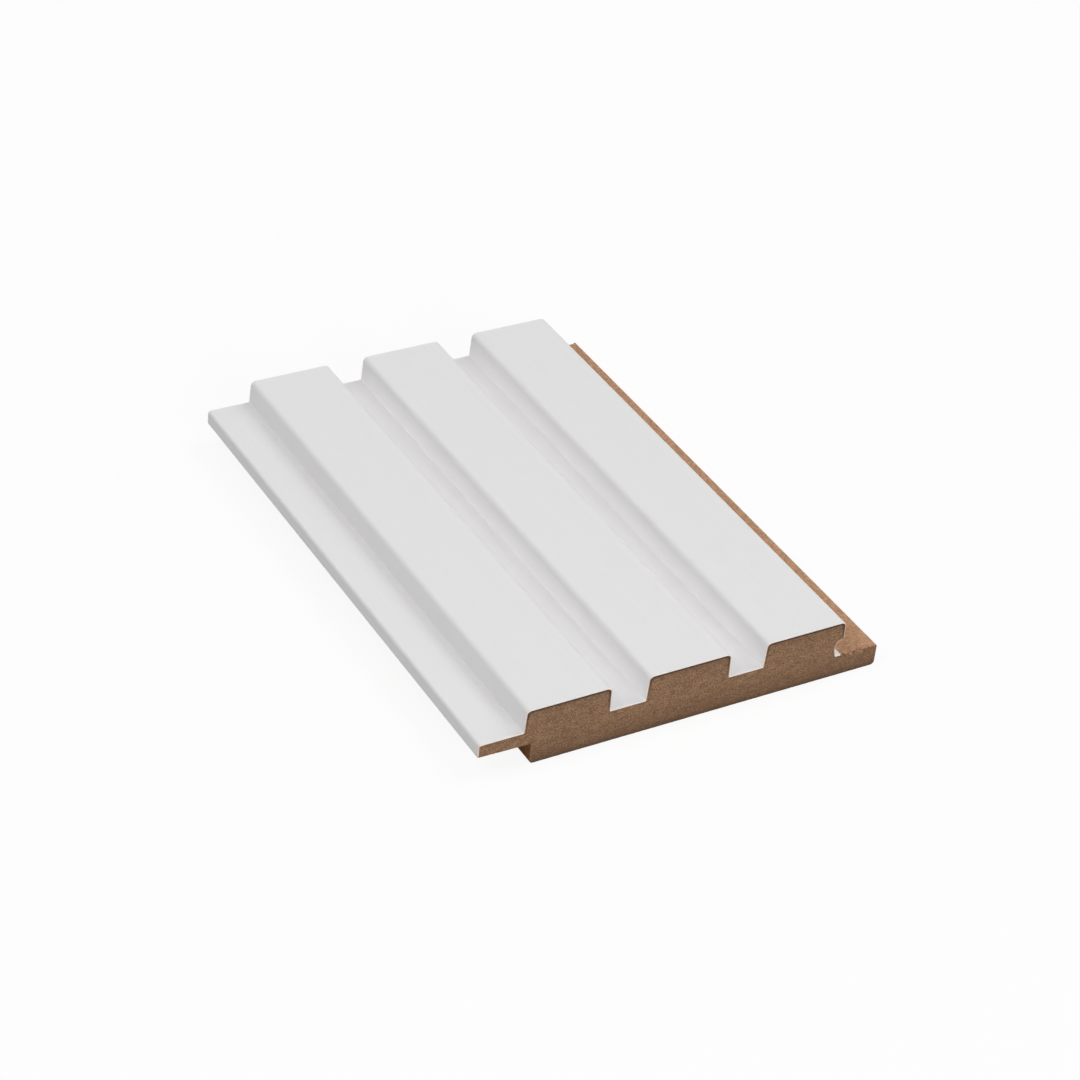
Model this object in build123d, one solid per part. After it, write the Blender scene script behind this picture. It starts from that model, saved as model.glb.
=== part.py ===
from build123d import *
import os

# Grooved wall panel: one moulded MDF board with white film glued over its face.
# X runs across the panel, with the thin lip at -X and the flange at +X.
# Y runs along the ribs, between the two sawn ends. Z is up, from the bare back to the rib tops.
# The origin is in the plane of the back, in the middle of the overall width and length.

# Stock
SAMPLE_LENGTH = 150.0
BOARD_THICKNESS = 16.0
FILM_THICKNESS = 0.3

# Ribbed face. All widths are of the bare board, at the foot of the walls.
RIB_COUNT = 3
RIB_WIDTH = 22.9
GROOVE_WIDTH = 10.2
GROOVE_DEPTH = 7.0
LIP_SIDE_LEAN = 0.35
FLANGE_SIDE_LEAN = 0.25
SHOULDER_RADIUS = 1.1
FOOT_RADIUS = 0.45

# Lip, which hooks over the neighbour's flange
LIP_REACH = 11.8
LIP_THICKNESS = 3.7
LIP_TIP_RISE = 0.3
LIP_TIP_RADIUS = 0.5
STEP_SETBACK = 2.1
STEP_ROOT_RADIUS = 0.5

# Flange, which carries the neighbour's lip and takes the nails
FLANGE_THICKNESS = 5.9
FLANGE_TOP_RADIUS = 0.4
FLANGE_BACK_RADIUS = 1.2
STEP_BACK_RADIUS = 1.0

# Undercut in the last rib, which houses the tip of the neighbour's lip
UNDERCUT_BOW = 0.8
UNDERCUT_BOW_RADIUS = 3.5
UNDERCUT_ROOF_FALL = 0.4
UNDERCUT_ROOF_RADIUS = 1.2
UNDERCUT_MOUTH_RADIUS = 0.3

# Clearances of the lap joint between two panels
SEAT_CLEARANCE = 0.1
LIP_TIP_CLEARANCE = 0.95
LIP_TOP_CLEARANCE = 0.95
FLANGE_END_CLEARANCE = 1.3

# Places across the panel, measured from the board's lip tip
rib_pitch = RIB_WIDTH + GROOVE_WIDTH
cover_width = RIB_COUNT * rib_pitch
last_wall_x = LIP_REACH + cover_width - GROOVE_WIDTH
step_x = LIP_REACH + STEP_SETBACK
flange_end_x = cover_width + step_x - FLANGE_END_CLEARANCE
undercut_x = cover_width - LIP_TIP_CLEARANCE
middle_x = (flange_end_x - FILM_THICKNESS) / 2

# Heights above the back
groove_z = BOARD_THICKNESS - GROOVE_DEPTH
lip_root_z = FLANGE_THICKNESS + SEAT_CLEARANCE
lip_tip_z = lip_root_z + LIP_TIP_RISE
lip_top_z = lip_root_z + LIP_THICKNESS
undercut_roof_z = lip_top_z + 2 * FILM_THICKNESS + LIP_TOP_CLEARANCE
undercut_middle_z = (FLANGE_THICKNESS + undercut_roof_z) / 2


def section_line(corners):
    """A line through corners given as (x, z, radius), rounded at each one between the two ends."""
    points = [(x - middle_x, z) for x, z, _ in corners]
    radii = [radius for _, _, radius in corners[1:-1]]
    return FilletPolyline(points, radius=radii)


def lip_corners():
    """The lip's tip, from its lower corner up to its top."""
    return [(0, lip_tip_z, 0), (0, lip_top_z, LIP_TIP_RADIUS)]


def rib_top_corners(foot_x):
    """The two rounded shoulders of the rib whose lip-side wall stands at foot_x."""
    return [
        (foot_x + LIP_SIDE_LEAN, BOARD_THICKNESS, SHOULDER_RADIUS),
        (foot_x + RIB_WIDTH - FLANGE_SIDE_LEAN, BOARD_THICKNESS, SHOULDER_RADIUS),
    ]


def groove_corners(wall_x):
    """The floor of the groove that starts at the flange-side wall of a rib."""
    return [
        (wall_x, groove_z, FOOT_RADIUS),
        (wall_x + GROOVE_WIDTH, groove_z, FOOT_RADIUS),
    ]


def undercut_corners():
    """The pocket under the last rib: roof, bowed wall and the stretch of floor that the film covers."""
    return [
        (last_wall_x, undercut_roof_z, UNDERCUT_MOUTH_RADIUS),
        (undercut_x + UNDERCUT_BOW, undercut_roof_z - UNDERCUT_ROOF_FALL, UNDERCUT_ROOF_RADIUS),
        (undercut_x, undercut_middle_z, UNDERCUT_BOW_RADIUS),
        (undercut_x + UNDERCUT_BOW, FLANGE_THICKNESS, FOOT_RADIUS),
        (last_wall_x, FLANGE_THICKNESS, 0),
    ]


def wrapped_line():
    """The run of the section that the film follows, from the lip's lower corner to the undercut's floor."""
    corners = lip_corners() + [(LIP_REACH, lip_top_z, FOOT_RADIUS)]
    for rib in range(RIB_COUNT):
        foot_x = LIP_REACH + rib * rib_pitch
        corners += rib_top_corners(foot_x)
        if rib < RIB_COUNT - 1:
            corners += groove_corners(foot_x + RIB_WIDTH)
    return section_line(corners + undercut_corners())


def bare_line():
    """The run of the section that stays bare: flange, back, step and the lip's underside."""
    return section_line(
        [
            (last_wall_x, FLANGE_THICKNESS, 0),
            (flange_end_x, FLANGE_THICKNESS, FLANGE_TOP_RADIUS),
            (flange_end_x, 0, FLANGE_BACK_RADIUS),
            (step_x, 0, STEP_BACK_RADIUS),
            (step_x, lip_root_z, STEP_ROOT_RADIUS),
            (0, lip_tip_z, 0),
        ]
    )


def along_the_ribs(section):
    """A section drawn in X and Z, drawn out to the sample's length about the middle."""
    return extrude(Plane.XZ * section, amount=SAMPLE_LENGTH / 2, both=True)


def mdf_board():
    """The moulded board, one piece."""
    return along_the_ribs(make_face([wrapped_line(), bare_line()]))


def white_film():
    """The film: a skin of even thickness on the outside of the wrapped line."""
    return along_the_ribs(
        make_face(offset(wrapped_line(), amount=FILM_THICKNESS, side=Side.LEFT, closed=True))
    )


os.makedirs("parts", exist_ok=True)
for name, solid in {"mdf_board": mdf_board(), "white_film": white_film()}.items():
    export_step(solid, f"parts/{name}.step")
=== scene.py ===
"""A sawn sample of grooved wall panel: a moulded MDF board with white film glued over its face.

Lengths are in metres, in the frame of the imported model. X runs across the panel, from the lip to
the flange. Y runs along the ribs, between the two sawn ends. Z is up, out of the bare back.
"""
import logging
import math
from dataclasses import dataclass, field
from enum import Enum, IntEnum

import bpy
import numpy as np
from mathutils import Matrix, Vector, geometry, noise


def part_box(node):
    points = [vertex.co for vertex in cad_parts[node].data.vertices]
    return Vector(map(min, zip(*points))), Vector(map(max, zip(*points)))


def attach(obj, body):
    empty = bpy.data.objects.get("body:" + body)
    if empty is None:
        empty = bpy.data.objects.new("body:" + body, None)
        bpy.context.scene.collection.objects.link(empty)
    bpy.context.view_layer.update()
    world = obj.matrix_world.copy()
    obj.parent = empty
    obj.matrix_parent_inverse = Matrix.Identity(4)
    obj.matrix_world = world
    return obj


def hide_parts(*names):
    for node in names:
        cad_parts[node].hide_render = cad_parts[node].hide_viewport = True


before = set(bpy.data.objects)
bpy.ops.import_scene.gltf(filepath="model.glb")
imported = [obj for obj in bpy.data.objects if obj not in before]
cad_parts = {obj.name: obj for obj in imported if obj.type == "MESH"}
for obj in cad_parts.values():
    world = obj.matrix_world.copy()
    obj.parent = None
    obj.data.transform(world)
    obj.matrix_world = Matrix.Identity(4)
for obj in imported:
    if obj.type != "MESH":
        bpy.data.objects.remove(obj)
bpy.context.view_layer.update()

MM = 0.001
BODY = "root"
BLOCK = 1000
FILM_DISTANCE = "from_film"
BACK_DISTANCE = "from_back"
FACE_DISTANCE = "from_face"
GLUE_DISTANCE = "from_glue"
GLUE_WIDTH = "glue_width"
CREASE_DISTANCE = "from_crease"
CRUST = "crust"
TORN = "torn_fibre"
END_ZONE = 0

Colour = tuple[float, float, float, float]
Triangle = tuple[int, int, int]

log = logging.getLogger("wall_panel")


def srgb(red: int, green: int, blue: int) -> Colour:
    """Turns a colour as it looks on a screen into the linear values that a shader takes.

    Args:
        red: Red, from 0 to 255.
        green: Green, from 0 to 255.
        blue: Blue, from 0 to 255.

    Returns:
        The linear colour with an alpha of 1.
    """
    levels = (value / 255 for value in (red, green, blue))
    linear = [v / 12.92 if v <= 0.04045 else ((v + 0.055) / 1.055) ** 2.4 for v in levels]
    return linear[0], linear[1], linear[2], 1.0


def distance_to_lines(points: np.ndarray, lines: np.ndarray) -> np.ndarray:
    """Measures how far points lie from the nearest of several straight lines.

    Args:
        points: Places in X and Z, one a row.
        lines: The two ends of each line, as an array of lines, ends and X and Z.

    Returns:
        One distance a point, in metres.
    """
    start, along = lines[:, 0], lines[:, 1] - lines[:, 0]
    squared = np.einsum("ld,ld->l", along, along)
    nearest = []
    for block in np.array_split(points, len(points) // BLOCK + 1):
        offset = block[:, None] - start
        share = np.clip(np.einsum("pld,ld->pl", offset, along) / squared, 0, 1)
        nearest.append(np.linalg.norm(offset - share[..., None] * along, axis=2).min(axis=1))
    return np.concatenate(nearest)


@dataclass(frozen=True)
class Outline:
    """The closed line round a section, anticlockwise in X and Z as the end that looks along -Y shows it."""

    points: np.ndarray

    @classmethod
    def of_node(cls, node: bpy.types.Object) -> "Outline":
        """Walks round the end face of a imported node.

        Args:
            node: A node whose section is the same all along Y.

        Returns:
            The outline of that section, with the corners that the node's mesh has.
        """
        corners = np.array([vertex.co for vertex in node.data.vertices])
        end = corners[:, 1].min()
        on_end = np.isclose(corners[:, 1], end, atol=1e-6)
        places = [tuple(np.round(corner[[0, 2]], 7)) for corner in corners]
        steps = set()
        for face in node.data.polygons:
            ring = list(face.vertices)
            if on_end[ring].all():
                steps |= {(places[a], places[b]) for a, b in zip(ring, ring[1:] + ring[:1])}
        onward = {a: b for a, b in steps if (b, a) not in steps}
        walk = [min(onward)]
        while onward[walk[-1]] != walk[0]:
            walk.append(onward[walk[-1]])
        return cls(np.array(walk))

    def refined(self, step: float) -> "Outline":
        """Divides the long stretches evenly.

        Args:
            step: The longest stretch that is left.

        Returns:
            The same line with more points on it.
        """
        points = []
        for start, end in self.lines():
            parts = max(1, math.ceil(np.linalg.norm(end - start) / step - 1e-6))
            points += [start + (end - start) * part / parts for part in range(parts)]
        return Outline(np.array(points))

    def lines(self) -> np.ndarray:
        """The straight stretches, each as its two ends."""
        return np.stack([self.points, np.roll(self.points, -1, axis=0)], axis=1)

    def inward(self) -> np.ndarray:
        """Finds the direction into the material at each point.

        Returns:
            One direction in X and Z a point, of length 1.
        """
        chord = np.roll(self.points, -1, axis=0) - np.roll(self.points, 1, axis=0)
        turned = np.stack([-chord[:, 1], chord[:, 0]], axis=1)
        return turned / np.linalg.norm(turned, axis=1, keepdims=True)

    def holds(self, places: np.ndarray) -> np.ndarray:
        """Tells which places lie within the line.

        Args:
            places: Places in X and Z, one a row.

        Returns:
            True for each place that lies within.
        """
        start, end = self.lines()[:, 0], self.lines()[:, 1]
        x, z = places[:, 0, None], places[:, 1, None]
        spans = (start[:, 1] > z) != (end[:, 1] > z)
        rise = np.where(end[:, 1] == start[:, 1], 1, end[:, 1] - start[:, 1])
        crossing = start[:, 0] + (z - start[:, 1]) * (end[:, 0] - start[:, 0]) / rise
        return (spans & (x < crossing)).sum(axis=1) % 2 == 1

    def inner_points(self, insets: tuple[float, ...], cell: float, seed: int) -> np.ndarray:
        """Scatters points over the section, in even rows near the line and freely farther in.

        Args:
            insets: How far in each row near the line lies.
            cell: How far apart the free points are.
            seed: Starts the random shifts of the free points.

        Returns:
            Places in X and Z, none of them on the line.
        """
        found = []
        for inset in insets:
            row = self.points + self.inward() * inset
            found.append(row[distance_to_lines(row, self.lines()) > 0.9 * inset])
        low, high = self.points.min(axis=0), self.points.max(axis=0)
        grid = np.stack(
            np.meshgrid(*[np.arange(a, b, cell) for a, b in zip(low, high)]), axis=-1
        ).reshape(-1, 2)
        grid += np.random.default_rng(seed).uniform(-0.35, 0.35, grid.shape) * cell
        grid = grid[self.holds(grid)]
        clear = (insets[-1] if insets else 0) + 0.6 * cell
        found.append(grid[distance_to_lines(grid, self.lines()) > clear])
        rows = np.vstack(found)
        return rows[self.holds(rows)]

    def filled(self, inner: np.ndarray) -> list[Triangle]:
        """Joins the line's points and inner points into triangles.

        Args:
            inner: Places within the line.

        Returns:
            Anticlockwise triangles, which count the line's points first and the inner ones after.
        """
        places = np.vstack([self.points, inner]) / MM
        ring = list(range(len(self.points)))
        made = geometry.delaunay_2d_cdt([Vector(place) for place in places], [], [ring], 1, 1e-6)
        source = [origins[0] for origins in made[3]]
        triangles = []
        for face in made[2]:
            a, b, c = (source[corner] for corner in face)
            left, right = places[b] - places[a], places[c] - places[a]
            turns_left = left[0] * right[1] - left[1] * right[0] > 0
            triangles.append((a, b, c) if turns_left else (a, c, b))
        return triangles


class NodeBench:
    """Adds nodes to one node tree and joins them."""

    def __init__(self, tree: bpy.types.NodeTree) -> None:
        """Keeps the tree that the nodes go into."""
        self.tree = tree

    def add(
        self, kind: str, inputs: dict[str | int, object] | None = None, **settings: object
    ) -> bpy.types.Node:
        """Adds a node.

        Args:
            kind: The node's type, without the word ShaderNode in front.
            inputs: For each input, a value or the output that feeds it.
            settings: Options of the node itself.

        Returns:
            The new node.
        """
        node = self.tree.nodes.new("ShaderNode" + kind)
        for name, value in settings.items():
            setattr(node, name, value)
        for name, value in (inputs or {}).items():
            if isinstance(value, bpy.types.NodeSocket):
                self.tree.links.new(value, node.inputs[name])
            else:
                node.inputs[name].default_value = value
        return node

    def math(self, operation: str, *values: object) -> bpy.types.NodeSocket:
        """Adds a sum on numbers and gives its result."""
        return self.add("Math", dict(enumerate(values)), operation=operation).outputs[0]

    def stretch(self, value: object, low: float, high: float) -> bpy.types.NodeSocket:
        """Spreads the part of a value between low and high over 0 to 1."""
        inputs = {"Value": value, "From Min": low, "From Max": high}
        return self.add("MapRange", inputs, clamp=True).outputs[0]

    def mix(self, share: object, first: object, second: object) -> bpy.types.NodeSocket:
        """Mixes two colours, with share 1 giving the second."""
        node = self.add("Mix", {0: share, 6: first, 7: second}, data_type="RGBA")
        return node.outputs[2]

    def noise(self, place: object, size: float, detail: float = 3.0) -> bpy.types.NodeSocket:
        """Adds cloud noise of a given scale over places, and gives its value."""
        inputs = {"Vector": place, "Scale": size, "Detail": detail, "Roughness": 0.6}
        return self.add("TexNoise", inputs).outputs[0]

    def mask(self, name: str) -> bpy.types.NodeSocket:
        """Reads one of the masks that a piece's mesh carries."""
        return self.add("Attribute", attribute_name=name).outputs["Fac"]

    def scaled_place(self, scale: object) -> bpy.types.NodeSocket:
        """Gives the place on the object, multiplied by a scale in each direction."""
        place = self.add("TexCoord").outputs["Object"]
        return self.add("VectorMath", {0: place, 1: scale}, operation="MULTIPLY").outputs[0]


class Socket(Enum):
    """The kinds of input and output that a shared effect has."""

    COLOUR = "NodeSocketColor"
    VALUE = "NodeSocketFloat"
    DIRECTION = "NodeSocketVector"


class Effect:
    """A shader node group that several finishes use, built when it is first asked for."""

    name: str
    takes: dict[str, Socket]
    gives: dict[str, Socket]

    def group(self) -> bpy.types.NodeTree:
        """Finds or builds the group.

        Returns:
            The node group, with its named inputs and outputs.
        """
        found = bpy.data.node_groups.get(self.name)
        if found:
            return found
        tree = bpy.data.node_groups.new(self.name, "ShaderNodeTree")
        for title, kind in self.takes.items():
            tree.interface.new_socket(title, in_out="INPUT", socket_type=kind.value)
        for title, kind in self.gives.items():
            tree.interface.new_socket(title, in_out="OUTPUT", socket_type=kind.value)
        entry, leave = tree.nodes.new("NodeGroupInput"), tree.nodes.new("NodeGroupOutput")
        for title, output in self.work(NodeBench(tree), entry.outputs).items():
            tree.links.new(output, leave.inputs[title])
        return tree

    def work(self, bench: NodeBench, given: bpy.types.NodeOutputs) -> dict[str, bpy.types.NodeSocket]:
        """Adds the nodes of the effect, and gives the socket that feeds each output."""
        raise NotImplementedError

    def on(self, bench: NodeBench, inputs: dict[str, object]) -> bpy.types.NodeOutputs:
        """Places the effect in a material.

        Args:
            bench: The material's bench.
            inputs: For each input, a value or the output that feeds it.

        Returns:
            The effect's outputs.
        """
        node = bench.add("Group", node_tree=self.group())
        for title, value in inputs.items():
            if isinstance(value, bpy.types.NodeSocket):
                bench.tree.links.new(value, node.inputs[title])
            else:
                node.inputs[title].default_value = value
        return node.outputs


class PressedFibre(Effect):
    """Wood fibres pressed into board: mottling, with pale strands and dark gaps that lie flat and cross."""

    name = "Pressed fibre"
    takes = {
        "Scale": Socket.DIRECTION,
        "Dark": Socket.COLOUR,
        "Body": Socket.COLOUR,
        "Light": Socket.COLOUR,
        "Bundles": Socket.VALUE,
        "Pits": Socket.VALUE,
    }
    gives = {"Color": Socket.COLOUR, "Height": Socket.VALUE}
    across_panel = (0.35, 1.5, 1.9)
    along_panel = (1.5, 0.35, 1.9)

    def work(self, bench: NodeBench, given: bpy.types.NodeOutputs) -> dict[str, bpy.types.NodeSocket]:
        """Mixes clouds of two sizes for the tone, then lays strands over it in two directions.

        Args:
            bench: The group's bench.
            given: The group's inputs.

        Returns:
            The socket that feeds each output.
        """
        place = bench.scaled_place(given["Scale"])
        fine = bench.stretch(bench.noise(place, 1.0, 4.0), 0.3, 0.7)
        broad = bench.stretch(bench.noise(place, 0.2, 3.0), 0.3, 0.7)
        tone = bench.math("ADD", bench.math("MULTIPLY", fine, 0.78), bench.math("MULTIPLY", broad, 0.22))
        body = bench.mix(bench.stretch(tone, 0.0, 0.55), given["Dark"], given["Body"])
        lit = bench.mix(bench.stretch(tone, 0.5, 1.0), body, given["Light"])
        across = self.strands(bench, place, self.across_panel)
        along = self.strands(bench, place, self.along_panel)
        strand = bench.stretch(bench.math("MAXIMUM", across, along), 0.56, 0.72)
        gap = bench.stretch(bench.math("MINIMUM", across, along), 0.44, 0.28)
        pale = bench.mix(bench.math("MULTIPLY", strand, given["Bundles"]), lit, given["Light"])
        raised = bench.math("ADD", fine, bench.math("MULTIPLY", strand, 0.5))
        return {
            "Color": bench.mix(bench.math("MULTIPLY", gap, given["Pits"]), pale, given["Dark"]),
            "Height": bench.math("SUBTRACT", raised, bench.math("MULTIPLY", gap, 0.5)),
        }

    @staticmethod
    def strands(bench: NodeBench, place: object, thin: tuple[float, float, float]) -> bpy.types.NodeSocket:
        """Adds noise that is drawn out along one direction of the panel."""
        drawn = bench.add("VectorMath", {0: place, 1: thin}, operation="MULTIPLY").outputs[0]
        return bench.noise(drawn, 1.0, 2.0)


class EdgeShade(Effect):
    """A tone that starts at an edge and fades with the distance from it."""

    name = "Edge shade"
    takes = {
        "Color": Socket.COLOUR,
        "Shade": Socket.COLOUR,
        "Distance": Socket.VALUE,
        "Width": Socket.VALUE,
        "Hardness": Socket.VALUE,
        "Amount": Socket.VALUE,
    }
    gives = {"Color": Socket.COLOUR}

    def work(self, bench: NodeBench, given: bpy.types.NodeOutputs) -> dict[str, bpy.types.NodeSocket]:
        """Fades the shade out over the width, with a slightly wandering border.

        Args:
            bench: The group's bench.
            given: The group's inputs.

        Returns:
            The socket that feeds each output.
        """
        wander = bench.noise(bench.scaled_place((900.0, 900.0, 900.0)), 1.0, 2.0)
        share = bench.math("ADD", bench.math("MULTIPLY", wander, 0.6), 0.7)
        reach = bench.math("MULTIPLY", given["Width"], share)
        near = bench.math("SUBTRACT", 1.0, bench.math("DIVIDE", given["Distance"], reach))
        steep = bench.math("MULTIPLY", near, given["Hardness"])
        share = bench.math("MULTIPLY", bench.stretch(steep, 0.0, 1.0), given["Amount"])
        return {"Color": bench.mix(share, given["Color"], given["Shade"])}


class Handling(Effect):
    """Faint clouds of handling: a slightly darker tone, and a duller or glossier sheen."""

    name = "Handling"
    takes = {
        "Color": Socket.COLOUR,
        "Soil": Socket.COLOUR,
        "Amount": Socket.VALUE,
        "Roughness": Socket.VALUE,
        "Spread": Socket.VALUE,
    }
    gives = {"Color": Socket.COLOUR, "Roughness": Socket.VALUE}

    def work(self, bench: NodeBench, given: bpy.types.NodeOutputs) -> dict[str, bpy.types.NodeSocket]:
        """Lays two sizes of cloud over the surface.

        Args:
            bench: The group's bench.
            given: The group's inputs.

        Returns:
            The socket that feeds each output.
        """
        place = bench.scaled_place((1.0, 0.6, 1.0))
        broad = bench.stretch(bench.noise(place, 38.0, 3.0), 0.35, 0.7)
        small = bench.stretch(bench.noise(place, 240.0, 4.0), 0.35, 0.7)
        cloud = bench.math("MULTIPLY", broad, small)
        swing = bench.math("MULTIPLY", bench.math("SUBTRACT", small, 0.5), given["Spread"])
        soiled = bench.math("MULTIPLY", cloud, given["Amount"])
        return {
            "Color": bench.mix(soiled, given["Color"], given["Soil"]),
            "Roughness": bench.math("ADD", given["Roughness"], swing),
        }


PRESSED_FIBRE = PressedFibre()
EDGE_SHADE = EdgeShade()
HANDLING = Handling()


@dataclass(frozen=True)
class EdgeTone:
    """A tone along an edge, for a finish: where it starts, how far it goes and how strong it is."""

    distance: str
    shade: Colour
    width: float | str
    amount: float | str
    hardness: float = 1.0

    def over(self, bench: NodeBench, colour: bpy.types.NodeSocket) -> bpy.types.NodeSocket:
        """Lays the tone over a colour.

        Args:
            bench: The material's bench.
            colour: The colour below.

        Returns:
            The colour with the tone on it.
        """
        inputs = {
            "Color": colour,
            "Shade": self.shade,
            "Distance": bench.mask(self.distance),
            "Width": bench.mask(self.width) if isinstance(self.width, str) else self.width,
            "Hardness": self.hardness,
            "Amount": bench.mask(self.amount) if isinstance(self.amount, str) else self.amount,
        }
        return EDGE_SHADE.on(bench, inputs)["Color"]


@dataclass(frozen=True)
class FibreFinish:
    """Bare fibreboard: what the saw, the cutter or the sanding belt left."""

    name: str
    dark: Colour
    body: Colour
    light: Colour
    scale: tuple[float, float, float]
    bundles: float
    pits: float
    relief: float
    roughness: float = 0.9
    edges: tuple[EdgeTone, ...] = ()
    torn: Colour = srgb(128, 94, 70)
    fleck: Colour = srgb(206, 164, 128)

    def material(self) -> bpy.types.Material:
        """Builds the material.

        Returns:
            Fibres in their tones, darker along the film and the bare edges, paler where they are torn.
        """
        material = bpy.data.materials.new(self.name)
        material.use_nodes = True
        bench = NodeBench(material.node_tree)
        shader = material.node_tree.nodes["Principled BSDF"]
        fibre = PRESSED_FIBRE.on(
            bench,
            {
                "Scale": self.scale,
                "Dark": self.dark,
                "Body": self.body,
                "Light": self.light,
                "Bundles": self.bundles,
                "Pits": self.pits,
            },
        )
        colour = fibre["Color"]
        for tone in self.edges:
            colour = tone.over(bench, colour)
        torn = bench.mask(TORN)
        broken = bench.mix(bench.math("MULTIPLY", torn, 0.85), colour, self.torn)
        flecks = bench.math("MULTIPLY", torn, bench.stretch(fibre["Height"], 0.55, 0.95))
        worn = HANDLING.on(
            bench,
            {
                "Color": bench.mix(flecks, broken, self.fleck),
                "Soil": self.dark,
                "Amount": 0.25,
                "Roughness": self.roughness,
                "Spread": 0.12,
            },
        )
        height = {"Height": fibre["Height"], "Distance": self.relief, "Strength": 0.7}
        bump = bench.add("Bump", height).outputs[0]
        for title, output in (
            ("Base Color", worn["Color"]),
            ("Roughness", worn["Roughness"]),
            ("Normal", bump),
        ):
            material.node_tree.links.new(output, shader.inputs[title])
        shader.inputs["Specular IOR Level"].default_value = 0.25
        return material


@dataclass(frozen=True)
class FilmFinish:
    """White decorative film: even in colour, satin, with the faintest lines of the cutter below."""

    name: str
    colour: Colour
    line_colour: Colour
    soil: Colour
    roughness: float
    line_amount: float
    peel: float
    gloss: float = 0.3
    edges: tuple[EdgeTone, ...] = ()
    line_scale: tuple[float, float, float] = (900.0, 4.0, 900.0)
    peel_scale: tuple[float, float, float] = (1500.0, 900.0, 1500.0)

    def material(self) -> bpy.types.Material:
        """Builds the material.

        Returns:
            White film with faint lengthwise lines, clouds of handling and a fine peel.
        """
        material = bpy.data.materials.new(self.name)
        material.use_nodes = True
        bench = NodeBench(material.node_tree)
        shader = material.node_tree.nodes["Principled BSDF"]
        lines = bench.stretch(bench.noise(bench.scaled_place(self.line_scale), 1.0, 3.0), 0.4, 0.65)
        drawn = bench.math("MULTIPLY", lines, self.line_amount)
        colour = bench.mix(drawn, self.colour, self.line_colour)
        for tone in self.edges:
            colour = tone.over(bench, colour)
        worn = HANDLING.on(
            bench,
            {
                "Color": colour,
                "Soil": self.soil,
                "Amount": 0.3,
                "Roughness": self.roughness,
                "Spread": 0.1,
            },
        )
        peel = bench.noise(bench.scaled_place(self.peel_scale), 1.0, 2.0)
        height = bench.math("ADD", peel, bench.math("MULTIPLY", lines, 0.15))
        bump = bench.add("Bump", {"Height": height, "Distance": self.peel, "Strength": 0.5}).outputs[0]
        for title, output in (
            ("Base Color", worn["Color"]),
            ("Roughness", worn["Roughness"]),
            ("Normal", bump),
        ):
            material.node_tree.links.new(output, shader.inputs[title])
        shader.inputs["Specular IOR Level"].default_value = self.gloss
        return material


SAWN_FIBRE = FibreFinish(
    name="sawn_fibre",
    dark=srgb(84, 60, 41),
    body=srgb(144, 110, 83),
    light=srgb(200, 160, 123),
    scale=(2200.0, 2200.0, 3200.0),
    bundles=0.6,
    pits=0.55,
    relief=0.00012,
    edges=(
        EdgeTone(BACK_DISTANCE, srgb(92, 66, 47), width=7.0, amount=0.55),
        EdgeTone(BACK_DISTANCE, srgb(58, 46, 40), width=1.6, amount=0.5),
        EdgeTone(FACE_DISTANCE, srgb(86, 62, 50), width=2.2, amount=0.3),
        EdgeTone(FILM_DISTANCE, srgb(62, 48, 46), width=0.75, amount=CRUST, hardness=1.4),
    ),
)
MOULDED_FIBRE = FibreFinish(
    name="moulded_fibre",
    dark=srgb(158, 117, 88),
    body=srgb(196, 151, 118),
    light=srgb(220, 175, 137),
    scale=(1500.0, 1100.0, 2000.0),
    bundles=0.3,
    pits=0.4,
    relief=0.00005,
)
# Painted shade: a darker, warmer copy of the bare fibre for the step face in the shade under the lip.
SHADED_STEP_FIBRE = FibreFinish(
    name="step_fibre_painted_shade",
    dark=srgb(112, 75, 45),
    body=srgb(147, 102, 64),
    light=srgb(183, 135, 87),
    scale=(1100.0, 500.0, 1800.0),
    bundles=0.2,
    pits=0.3,
    relief=0.00005,
)
SANDED_FIBRE = FibreFinish(
    name="sanded_fibre",
    dark=srgb(146, 112, 86),
    body=srgb(170, 134, 104),
    light=srgb(190, 155, 124),
    scale=(900.0, 420.0, 1500.0),
    bundles=0.3,
    pits=0.2,
    relief=0.00003,
    roughness=0.8,
)
FACE_FILM = FilmFinish(
    name="white_film_face",
    colour=srgb(243, 242, 242),
    line_colour=srgb(240, 239, 239),
    soil=srgb(239, 237, 237),
    roughness=0.6,
    line_amount=0.4,
    peel=0.000008,
    # Painted shade: a faint darker tone along the inner corners at the foot of the walls.
    edges=(EdgeTone(CREASE_DISTANCE, srgb(222, 221, 219), width=0.4, amount=0.1),),
)
# Partly the film's own white and partly a painted highlight: the bright line along the cut, also laid on
# the narrow band of face at each end.
CUT_FILM = FilmFinish(
    name="white_film_cut",
    colour=srgb(253, 246, 240),
    line_colour=srgb(248, 238, 229),
    soil=srgb(238, 224, 211),
    roughness=0.55,
    line_amount=0.5,
    peel=0.00002,
    edges=(EdgeTone(GLUE_DISTANCE, srgb(196, 162, 137), width=GLUE_WIDTH, amount=1.0, hardness=4.0),),
)


class BoardZone(IntEnum):
    """The bare surfaces of the board, in the order of its finishes."""

    SAWN = END_ZONE
    MOULDED = 1
    SANDED = 2
    SHADED_STEP = 3


class FilmZone(IntEnum):
    """The surfaces of the film, in the order of its finishes."""

    CUT = END_ZONE
    FACE = 1


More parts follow.
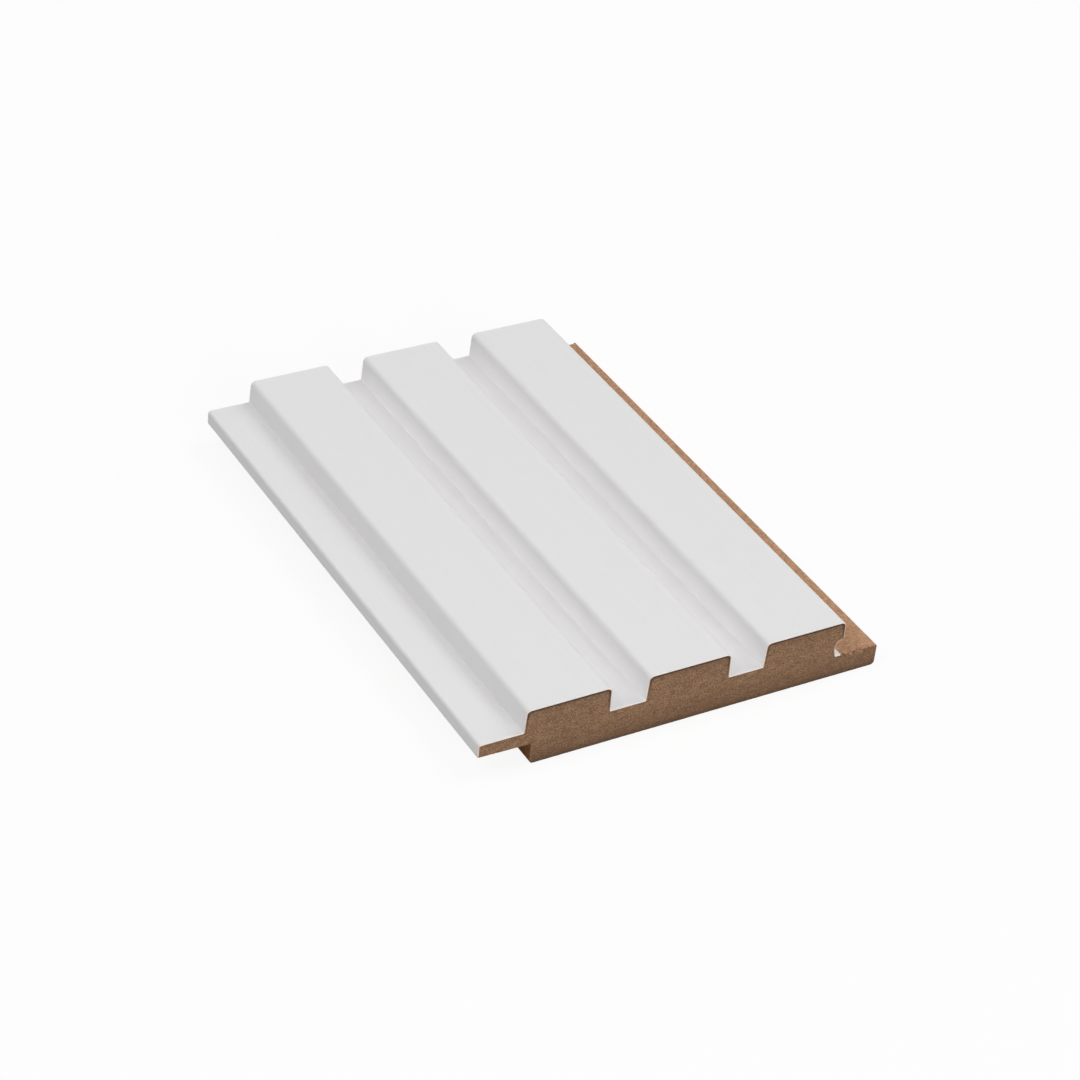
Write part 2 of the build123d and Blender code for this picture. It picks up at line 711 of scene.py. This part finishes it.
@dataclass
class SawnLength:
    """A length of one section between two sawn ends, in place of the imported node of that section.

    The fields from near_end on are filled in by build().
    """

    piece: str
    node: str
    slot: str
    outline_step: float
    insets: tuple[float, ...]
    cell: float
    finishes: tuple[FibreFinish | FilmFinish, ...]
    end_stations: tuple[float, ...] = (0.0, 0.12, 0.28, 0.5, 0.8, 1.3, 2.2, 3.6)
    middle_step: float = 6.0
    sharp_angle: float = 38.0
    near_end: float = field(init=False, repr=False)
    far_end: float = field(init=False, repr=False)
    outline: Outline = field(init=False, repr=False)
    section: np.ndarray = field(init=False, repr=False)
    source: np.ndarray = field(init=False, repr=False)
    places: np.ndarray = field(init=False, repr=False)

    def stations(self, low: float, high: float) -> np.ndarray:
        """Places the rings of points along Y, closely near the two ends.

        Args:
            low: Where the near end is.
            high: Where the far end is.

        Returns:
            The rings' places, from the near end to the far one.
        """
        near = np.array(self.end_stations) * MM
        inner_low, inner_high = low + near[-1], high - near[-1]
        count = math.ceil((inner_high - inner_low) / (self.middle_step * MM))
        middle = np.linspace(inner_low, inner_high, count + 1)[1:-1]
        return np.concatenate([low + near, middle, (high - near)[::-1]])

    def build(self) -> bpy.types.Object:
        """Builds the mesh, shapes it and dresses it.

        Returns:
            The finished piece, in place of the node.
        """
        low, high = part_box(self.node)
        self.near_end, self.far_end = low.y, high.y
        self.outline = Outline.of_node(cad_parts[self.node]).refined(self.outline_step * MM)
        inner = self.outline.inner_points(
            tuple(inset * MM for inset in self.insets), self.cell * MM, seed=len(self.piece)
        )
        self.section = np.vstack([self.outline.points, inner])
        rings = self.stations(low.y, high.y)
        count, total = len(self.outline.points), len(self.section)
        faces, zones = self.wall_faces(rings, count)
        on_ring, within = np.arange(count), np.arange(count, total)
        self.source = np.concatenate([np.tile(on_ring, len(rings)), within, within])
        y = np.concatenate([np.repeat(rings, count), np.repeat([low.y, high.y], len(within))])
        self.places = np.insert(self.section[self.source], 1, y, axis=1)
        near_shift = count * (len(rings) - 1)
        far_shift = near_shift + len(within)
        for a, b, c in self.outline.filled(inner):
            faces.append(tuple(i if i < count else i + near_shift for i in (a, b, c)))
            faces.append(tuple(i + near_shift if i < count else i + far_shift for i in (c, b, a)))
            zones += [END_ZONE, END_ZONE]
        masks = self.shape()
        mesh = bpy.data.meshes.new(self.piece)
        mesh.from_pydata(self.places.tolist(), [], faces)
        for finish in self.finishes:
            mesh.materials.append(finish.material())
        mesh.polygons.foreach_set("material_index", zones)
        for name, values in masks.items():
            mesh.attributes.new(name, "FLOAT", "POINT").data.foreach_set("value", values)
        mesh.shade_smooth()
        mesh.set_sharp_from_angle(angle=math.radians(self.sharp_angle))
        mesh.validate()
        piece = bpy.data.objects.new(self.piece, mesh)
        bpy.context.scene.collection.objects.link(piece)
        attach(piece, BODY)
        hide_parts(self.node)
        log.info("%s: %d vertices, %d faces", self.piece, len(mesh.vertices), len(mesh.polygons))
        return piece

    def wall_faces(self, rings: np.ndarray, count: int) -> tuple[list[tuple[int, ...]], list[int]]:
        """Joins the rings into walls.

        Args:
            rings: The rings' places along Y.
            count: How many points a ring has.

        Returns:
            The faces, and the number of the finish that each takes.
        """
        faces, zones = [], []
        for ring in range(len(rings) - 1):
            for point in range(count):
                onward = (point + 1) % count
                low, high = ring * count, (ring + 1) * count
                faces.append((low + point, high + point, high + onward, low + onward))
                zones.append(self.wall_zone(point, at_end=ring in (0, len(rings) - 2)))
        return faces, zones

    def wall_zone(self, point: int, at_end: bool) -> int:
        """The number of the finish that a wall face takes."""
        raise NotImplementedError

    def shape(self) -> dict[str, np.ndarray]:
        """Moves the points where the saw or wear did, and gives the masks for the finishes."""
        raise NotImplementedError

    def nearest_on_outline(self) -> tuple[np.ndarray, np.ndarray]:
        """Finds the outline's nearest point for each point of the section.

        Returns:
            The numbers of the nearest points, and how far off they are.
        """
        nearest, gap = [], []
        for block in np.array_split(self.section, len(self.section) // BLOCK + 1):
            gaps = np.linalg.norm(block[:, None] - self.outline.points, axis=2)
            nearest.append(gaps.argmin(axis=1))
            gap.append(gaps.min(axis=1))
        return np.concatenate(nearest), np.concatenate(gap)

    def depth(self) -> np.ndarray:
        """How far each point lies from the nearer sawn end."""
        y = self.places[:, 1]
        return np.minimum(y - self.near_end, self.far_end - y)

    def into_length(self) -> np.ndarray:
        """The direction along Y, away from the nearer sawn end, as 1 or -1 for each point."""
        return np.where(self.places[:, 1] < (self.near_end + self.far_end) / 2, 1.0, -1.0)


def clouds(places: np.ndarray, size: float, seed: float) -> np.ndarray:
    """Even noise over places.

    Args:
        places: Places in space, one a row.
        size: How large one swell of the noise is.
        seed: Shifts the noise, so that each use has its own.

    Returns:
        A value from about -1 to 1 for each place.
    """
    shift = Vector((seed, seed * 1.7, seed * 0.6))
    return np.array([noise.noise(Vector(place / size) + shift) for place in places])


@dataclass
class SawnBoard(SawnLength):
    """The moulded board: fuzzy sawn ends, and bare arrises that have lost crumbs of fibre."""

    piece: str = "sawn_board"
    node: str = "mdf_board"
    slot: str = "raw_mdf"
    outline_step: float = 0.25
    insets: tuple[float, ...] = (0.12, 0.3, 0.6)
    cell: float = 0.5
    finishes: tuple[FibreFinish, ...] = (SAWN_FIBRE, MOULDED_FIBRE, SANDED_FIBRE, SHADED_STEP_FIBRE)
    middle_step: float = 12.0
    film_gap: float = 0.03
    fuzz: float = 0.05
    fuzz_size: float = 0.9
    fuzz_margin: float = 0.4
    crumb: float = 0.04
    crumb_size: float = 0.9
    flange_chip: float = 1.05
    flange_chip_size: float = 1.0
    flange_chip_margin: float = 1.6
    flange_band: float = 0.3
    torn_push: float = 0.12
    corner_radius: float = 0.2
    crust_depth: float = 1.2
    crust_end: float = 7.5
    crust_least: float = 0.12
    undercut_depth: float = 4.0
    undercut_height: float = 5.6
    back_facing: float = 0.9
    back_height: float = 1.0
    step_facing: float = 0.2
    step_height: float = 6.2

    def shape(self) -> dict[str, np.ndarray]:
        """Roughens the ends and breaks the bare arrises.

        Returns:
            Distances in millimetres from the film, the sheet's back and its face, how dark the crust
            along the film is, and where fibre is torn.
        """
        film = Outline.of_node(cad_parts["white_film"])
        covered = distance_to_lines(self.outline.points, film.lines()) < self.film_gap * MM
        under_film = covered & np.roll(covered, -1)
        from_film = distance_to_lines(self.section, self.outline.lines()[under_film])
        from_bare = distance_to_lines(self.section, self.outline.lines()[~under_film])
        self.roughen_ends(np.minimum(from_film, from_bare)[self.source])
        lost = self.break_arrises(covered)
        self.round_corner()
        _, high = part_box(self.node)
        return {
            FILM_DISTANCE: from_film[self.source] / MM,
            BACK_DISTANCE: self.section[self.source, 1] / MM,
            FACE_DISTANCE: (high.z - self.section[self.source, 1]) / MM,
            CRUST: self.crust()[self.source],
            TORN: np.clip(lost / (self.torn_push * MM), 0, 1),
        }

    def crust(self) -> np.ndarray:
        """How dark the board is along the film: most in the dense crust of the sheet's face.

        Returns:
            A share from 0 to 1 for each point of the section.
        """
        _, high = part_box(self.node)
        film_low, film_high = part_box("white_film")
        x, z = self.section.T
        fade = (self.crust_end - (high.z - z) / MM) / (self.crust_end - self.crust_depth)
        in_undercut = x > film_high.x - self.undercut_depth * MM
        in_undercut &= z < film_low.z + self.undercut_height * MM
        return np.where(in_undercut, self.crust_least, np.clip(fade, self.crust_least, 1))

    def roughen_ends(self, from_edge: np.ndarray) -> None:
        """Sinks the sawn ends between the fibres.

        Args:
            from_edge: How far each point lies from the nearest edge of its end.
        """
        sawn = self.depth() < 1e-7
        flat = self.places[sawn] * (1, 1, 1.8)
        fine = clouds(flat, self.fuzz_size * MM * 0.5, 3.0)
        broad = clouds(flat, self.fuzz_size * MM * 2.5, 9.0)
        sunk = self.fuzz * MM * (1 + 0.7 * fine + 0.3 * broad) / 2
        edge = np.clip(from_edge[sawn] / (self.fuzz_margin * MM), 0, 1)
        self.places[sawn, 1] += self.into_length()[sawn] * sunk * edge

    def break_arrises(self, covered: np.ndarray) -> np.ndarray:
        """Breaks the bare edges of the two ends unevenly.

        Args:
            covered: Which points of the outline lie under the film.

        Returns:
            How much each point has moved.
        """
        outline, inward = self.outline.points, self.outline.inward()
        nearest, gap = self.nearest_on_outline()
        depth, into = self.depth(), self.into_length()
        moved = np.zeros(len(self.places))
        for end, y in ((1.0, self.near_end), (-1.0, self.far_end)):
            loss = self.arris_loss(y)
            loss[covered] = 0.0
            close = np.flatnonzero((into == end) & (depth < self.end_stations[-1] * MM))
            edge = nearest[self.source[close]]
            short = loss[edge] - depth[close] - gap[self.source[close]]
            push = np.maximum(short, 0) / 2
            self.places[close, 1] += end * push
            self.places[close, 0] += inward[edge, 0] * push
            self.places[close, 2] += inward[edge, 1] * push
            moved[close] = push
        return moved

    def arris_loss(self, y: float) -> np.ndarray:
        """How much the saw broke off the bare edge, most on top of the flange.

        Args:
            y: Which end.

        Returns:
            The width of the broken edge at each point of the outline, in metres.
        """
        outline = self.outline.points
        at_end = np.insert(outline, 1, y, axis=1)
        grain = clouds(at_end, self.crumb_size * MM, 21.0)
        loss = self.crumb * MM * np.clip(0.6 + grain, 0.1, 1.4)
        _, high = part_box(self.node)
        film_low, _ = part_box("white_film")
        level = film_low.z
        on_flange = (np.abs(outline[:, 1] - level) < self.flange_band * MM) & (outline[:, 0] > 0)
        left = outline[on_flange, 0].min() if on_flange.any() else high.x
        inset = np.minimum(outline[:, 0] - left, high.x - outline[:, 0])
        swell = clouds(at_end, self.flange_chip_size * MM, 5.0)
        fine = clouds(at_end, self.flange_chip_size * MM * 0.4, 15.0)
        share = np.clip(inset / (self.flange_chip_margin * MM), 0.1, 1)
        chips = self.flange_chip * MM * share * np.clip(0.6 + 0.7 * swell + 0.55 * fine, 0.05, 1.5)
        return np.where(on_flange, np.maximum(loss, chips), loss)

    def round_corner(self) -> None:
        """Rounds the flange's outer corner at the near end, as knocks do."""
        radius = self.corner_radius * MM
        outer = self.places[:, 0].max()
        gap = np.stack([outer - self.places[:, 0], self.places[:, 1] - self.near_end], axis=1)
        within = (gap < radius).all(axis=1)
        reach = radius - gap[within]
        length = np.linalg.norm(reach, axis=1)
        scale = np.where(length > radius, radius / length, 1.0)
        reach *= scale[:, None]
        self.places[within, 0] = outer - radius + reach[:, 0]
        self.places[within, 1] = self.near_end + radius - reach[:, 1]

    def wall_zone(self, point: int, at_end: bool) -> int:
        """Finds which surface a wall face is: sanded back, the step under the lip with its painted shade,
        or moulded.

        Args:
            point: The point of the outline at which the face starts.
            at_end: Whether the face touches a sawn end, which changes nothing here.

        Returns:
            The number of the finish.
        """
        x, z = self.outline.points[point]
        inward_x, inward_z = self.outline.inward()[point]
        if inward_z > self.back_facing and z < self.back_height * MM:
            return BoardZone.SANDED
        # The step under the lip takes the fibre with painted shade.
        under_lip = x < 0 and z < self.step_height * MM
        return BoardZone.SHADED_STEP if under_lip and inward_x > self.step_facing else BoardZone.MOULDED


@dataclass
class FilmWrap(SawnLength):
    """The film: a thin skin with a bright, slightly nicked cut edge at each end, whose brightness is partly
    a painted highlight.
    """

    piece: str = "film_wrap"
    node: str = "white_film"
    slot: str = "white_film"
    outline_step: float = 0.5
    insets: tuple[float, ...] = ()
    cell: float = 10.0
    finishes: tuple[FilmFinish, ...] = (CUT_FILM, FACE_FILM)
    end_stations: tuple[float, ...] = (0.0, 0.16, 0.4, 1.0, 3.0)
    nick: float = 0.04
    nick_size: float = 0.7
    glue_line: float = 0.02
    wall_glue_line: float = 0.24
    wrapped_glue_line: float = 0.6
    wrapped_depth: float = 4.0
    wrapped_margin: float = 1.0
    face_depth: float = 0.2
    crease_turn: float = 0.05
    wall_facing: float = 0.7

    def shape(self) -> dict[str, np.ndarray]:
        """Nicks the cut edges.

        Returns:
            How far each point lies from the glue and from a crease, and how far the glue stains the
            cut, in millimetres.
        """
        cut = self.depth() < 1e-7
        ragged = clouds(self.places[cut], self.nick_size * MM, 31.0)
        nicks = self.nick * MM * np.clip(ragged, 0, 1)
        self.places[cut, 1] += self.into_length()[cut] * nicks
        board = Outline.of_node(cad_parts["mdf_board"])
        from_glue = distance_to_lines(self.section, board.lines())
        from_crease = distance_to_lines(self.section, self.creases(from_glue))
        return {
            GLUE_DISTANCE: from_glue[self.source] / MM,
            GLUE_WIDTH: self.glue_width()[self.source],
            CREASE_DISTANCE: from_crease[self.source] / MM,
        }

    def creases(self, from_glue: np.ndarray) -> np.ndarray:
        """Finds the inner corners of the white face at the foot of the walls, where a faint painted shade
        darkens the film.

        Args:
            from_glue: How far each point of the section lies from the board.

        Returns:
            The stretches of the outline that make those corners, each as its two ends.
        """
        lines = self.outline.lines()
        onward = lines[:, 1] - lines[:, 0]
        onward /= np.linalg.norm(onward, axis=1, keepdims=True)
        before = np.roll(onward, 1, axis=0)
        turn = before[:, 0] * onward[:, 1] - before[:, 1] * onward[:, 0]
        inner_corner = (turn < -self.crease_turn) & (from_glue > self.face_depth * MM)
        return lines[inner_corner]

    def glue_width(self) -> np.ndarray:
        """How far the glue stains the cut: all of it where the film wraps round the last rib.

        Returns:
            A width in millimetres for each point of the section.
        """
        nearest, _ = self.nearest_on_outline()
        on_wall = np.abs(self.outline.inward()[nearest, 0]) > self.wall_facing
        low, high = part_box(self.node)
        x, z = self.section.T
        margin = self.wrapped_margin * MM
        wrapped = (x > high.x - self.wrapped_depth * MM) & (z > low.z + margin) & (z < high.z - margin)
        width = np.where(on_wall, self.wall_glue_line, self.glue_line)
        return np.where(wrapped, self.wrapped_glue_line, width)

    def wall_zone(self, point: int, at_end: bool) -> int:
        """Cut film, partly a painted highlight, on the narrow band at each end that the saw lifted, the
        white face elsewhere.
        """
        return FilmZone.CUT if at_end else FilmZone.FACE


@dataclass(frozen=True)
class Softbox:
    """A square lamp that lights a white card at the origin, turned towards it, to a level of white.

    Azimuth 0 is in front of the near end and 90 is on the flange's side, in degrees.
    """

    name: str
    azimuth: float
    elevation: float
    level: float
    distance: float = 1.65
    side: float = 0.9

    def place(self) -> Vector:
        """Finds where the lamp hangs.

        Returns:
            The place of its middle.
        """
        round_about, up = math.radians(self.azimuth), math.radians(self.elevation)
        flat = math.cos(up)
        towards = Vector((flat * math.sin(round_about), -flat * math.cos(round_about), math.sin(up)))
        return self.distance * towards

    def build(self) -> None:
        """Hangs the lamp, turned towards the origin."""
        lamp = bpy.data.lights.new(self.name, "AREA")
        lamp.shape = "SQUARE"
        lamp.size = self.side
        lamp.energy = self.level * (math.pi * self.distance) ** 2
        holder = bpy.data.objects.new(self.name, lamp)
        holder.location = self.place()
        holder.rotation_euler = self.place().to_track_quat("Z", "Y").to_euler()
        holder.visible_camera = False
        bpy.context.scene.collection.objects.link(holder)


@dataclass(frozen=True)
class Viewpoint:
    """Where the picture is taken from."""

    place: tuple[float, float, float] = (-0.34901, -0.54401, 0.45992)
    azimuth: float = -32.9007
    elevation: float = 35.2386
    roll: float = 6.2201
    lens: float = 103.313
    sensor: float = 36.0

    def build(self) -> None:
        """Sets up the camera and makes it the scene's own."""
        data = bpy.data.cameras.new("camera")
        data.lens, data.sensor_width, data.sensor_fit = self.lens, self.sensor, "HORIZONTAL"
        camera = bpy.data.objects.new("camera", data)
        turn = Matrix.Rotation(math.radians(self.azimuth), 4, "Z")
        tilt = Matrix.Rotation(math.radians(90 - self.elevation), 4, "X")
        roll = Matrix.Rotation(math.radians(self.roll), 4, "Z")
        camera.matrix_world = Matrix.Translation(self.place) @ turn @ tilt @ roll
        bpy.context.scene.collection.objects.link(camera)
        bpy.context.scene.camera = camera


@dataclass(frozen=True)
class Studio:
    """A pale floor under soft light, white where the camera looks past the panel."""

    floor_side: float = 12.0
    floor_drop: float = 0.0002
    floor_colour: Colour = srgb(203, 203, 203)
    floor_white: Colour = srgb(255, 255, 255)
    floor_glow: float = 0.9
    fill: float = 0.02
    lamps: tuple[Softbox, ...] = (
        Softbox("left_low", azimuth=-90, elevation=45, level=0.275),
        Softbox("left_high", azimuth=-90, elevation=60, level=0.148),
        Softbox("right_low", azimuth=90, elevation=30, level=0.155),
        Softbox("right_high", azimuth=90, elevation=60, level=0.29),
        Softbox("front", azimuth=0, elevation=20, level=0.55),
        Softbox("back", azimuth=180, elevation=20, level=0.12),
    )
    viewpoint: Viewpoint = field(default_factory=Viewpoint)

    def build(self) -> None:
        """Lays the floor, hangs the lamps, lights the world and sets up the camera."""
        self.lay_floor()
        self.light_world()
        for lamp in self.lamps:
            lamp.build()
        self.viewpoint.build()
        bpy.context.scene.view_settings.view_transform = "Standard"
        log.info("studio: %d lamps, floor %.1f m wide", len(self.lamps), self.floor_side)

    @staticmethod
    def seen_straight(bench: NodeBench) -> bpy.types.NodeSocket:
        """Tells the rays with which the camera sees a surface itself, in a mirror or through glass.

        Args:
            bench: The bench of the floor's material or of the world.

        Returns:
            A value that is 1 for those rays and 0 for light that falls on the panel.
        """
        path = bench.add("LightPath").outputs
        seen = bench.math("MAXIMUM", path["Is Camera Ray"], path["Is Glossy Ray"])
        return bench.math("MAXIMUM", seen, path["Is Transmission Ray"])

    def lay_floor(self) -> None:
        """Lays the floor: matt and pale, and mostly white to the camera, with the panel's shadow."""
        half = self.floor_side / 2
        square = ((-half, -half), (half, -half), (half, half), (-half, half))
        corners = [(x, y, -self.floor_drop) for x, y in square]
        mesh = bpy.data.meshes.new("floor")
        mesh.from_pydata(corners, [], [(0, 1, 2, 3)])
        floor = bpy.data.objects.new("floor", mesh)
        bpy.context.scene.collection.objects.link(floor)
        material = bpy.data.materials.new("pale_floor")
        material.use_nodes = True
        bench = NodeBench(material.node_tree)
        material.node_tree.nodes.remove(material.node_tree.nodes["Principled BSDF"])
        seen = self.seen_straight(bench)
        colour = bench.mix(seen, self.floor_colour, self.floor_white)
        matt = bench.add("BsdfDiffuse", {"Color": colour}).outputs[0]
        glow = bench.add("Emission", {"Strength": 1.0}).outputs[0]
        share = bench.math("MULTIPLY", seen, self.floor_glow)
        mixed = bench.add("MixShader", {0: share, 1: matt, 2: glow}).outputs[0]
        output = material.node_tree.nodes["Material Output"]
        material.node_tree.links.new(mixed, output.inputs["Surface"])
        mesh.materials.append(material)

    def light_world(self) -> None:
        """Fills from all round, and shows white behind the panel."""
        world = bpy.data.worlds.new("studio")
        bpy.context.scene.world = world
        world.use_nodes = True
        bench = NodeBench(world.node_tree)
        fill = world.node_tree.nodes["Background"]
        fill.inputs["Color"].default_value = (1.0, 1.0, 1.0, 1.0)
        fill.inputs["Strength"].default_value = self.fill
        white = bench.add("Background", {"Color": (1.0, 1.0, 1.0, 1.0), "Strength": 1.0}).outputs[0]
        inputs = {0: self.seen_straight(bench), 1: fill.outputs[0], 2: white}
        mixed = bench.add("MixShader", inputs).outputs[0]
        output = world.node_tree.nodes["World Output"]
        world.node_tree.links.new(mixed, output.inputs["Surface"])


def main() -> None:
    """Builds the board, the film and the studio."""
    logging.basicConfig(level=logging.INFO, format="%(name)s: %(message)s")
    SawnBoard().build()
    FilmWrap().build()
    Studio().build()


if __name__ == "__main__":
    main()
